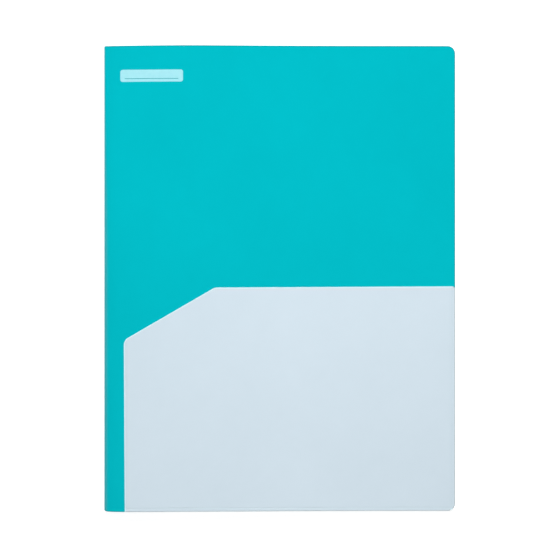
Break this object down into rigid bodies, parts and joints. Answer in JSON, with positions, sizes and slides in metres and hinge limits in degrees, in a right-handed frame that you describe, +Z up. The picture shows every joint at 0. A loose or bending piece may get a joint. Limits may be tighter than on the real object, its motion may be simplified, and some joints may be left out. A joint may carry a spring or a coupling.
{
  "type": "four pocket folder",
  "caption": "Closed A4 document folder of plastic sheet: hinged covers round a soft creased spine, with slant-cornered pockets welded inside and outside each cover.",
  "frame": {"origin": "middle of the closed folder's underside, on the surface that it lies on", "axes": "+X from the spine to the fore-edge, +Y from the bottom edge to the top edge, +Z up out of the front cover"},
  "size_m": [0.233, 0.308, 0.0081],
  "materials": {
    "cover_sheet": "turquoise polypropylene sheet, satin with a fine sand emboss",
    "pocket_sheet": "pale grey-blue polypropylene sheet, satin with a fine sand emboss"
  },
  "bodies": {
    "back_leaf": {"back_cover": "cover_sheet", "back_inner_weld": "pocket_sheet", "back_outer_weld": "pocket_sheet"},
    "spine": {"spine": "cover_sheet"},
    "front_leaf": {"front_cover": "cover_sheet", "front_inner_weld": "pocket_sheet", "front_outer_weld": "pocket_sheet"},
    "front_outer_panel": {"front_outer_pocket": "pocket_sheet"},
    "front_inner_panel": {"front_inner_pocket": "pocket_sheet"},
    "back_inner_panel": {"back_inner_pocket": "pocket_sheet"},
    "back_outer_panel": {"back_outer_pocket": "pocket_sheet"}
  },
  "joints": [
    {"name": "cover_opening", "type": "hinge", "parent": "back_leaf", "child": "spine", "pos_m": [-0.11651, 0, 0.0007], "axis": [0, -1, 0], "range_deg": [0, 120]},
    {"name": "front_crease", "type": "hinge", "parent": "spine", "child": "front_leaf", "pos_m": [-0.11251, 0, 0.00763], "axis": [0, -1, 0], "range_deg": [0, 61.17]},
    {"name": "front_outer_pocket_mouth", "type": "hinge", "parent": "front_leaf", "child": "front_outer_panel", "pos_m": [0, -0.1513, 0.00568], "axis": [0.9998, 0, -0.0204], "range_deg": [0, 3], "stiffness_Nm_per_rad": 2},
    {"name": "front_inner_pocket_mouth", "type": "hinge", "parent": "front_leaf", "child": "front_inner_panel", "pos_m": [0, -0.1513, 0.00498], "axis": [-0.9998, 0, 0.0204], "range_deg": [0, 3]},
    {"name": "back_inner_pocket_mouth", "type": "hinge", "parent": "back_leaf", "child": "back_inner_panel", "pos_m": [0, -0.1513, 0.00105], "axis": [1, 0, 0], "range_deg": [0, 3]},
    {"name": "back_outer_pocket_mouth", "type": "hinge", "parent": "back_leaf", "child": "back_outer_panel", "pos_m": [0, -0.1513, 0.00035], "axis": [-1, 0, 0], "range_deg": [0, 3], "stiffness_Nm_per_rad": 2}
  ],
  "couplings": [
    {"joint": "front_crease", "follows": "cover_opening", "ratio": 0.50975},
    {"joint": "front_inner_pocket_mouth", "follows": "cover_opening", "ratio": 0.025},
    {"joint": "back_inner_pocket_mouth", "follows": "cover_opening", "ratio": 0.025}
  ]
}
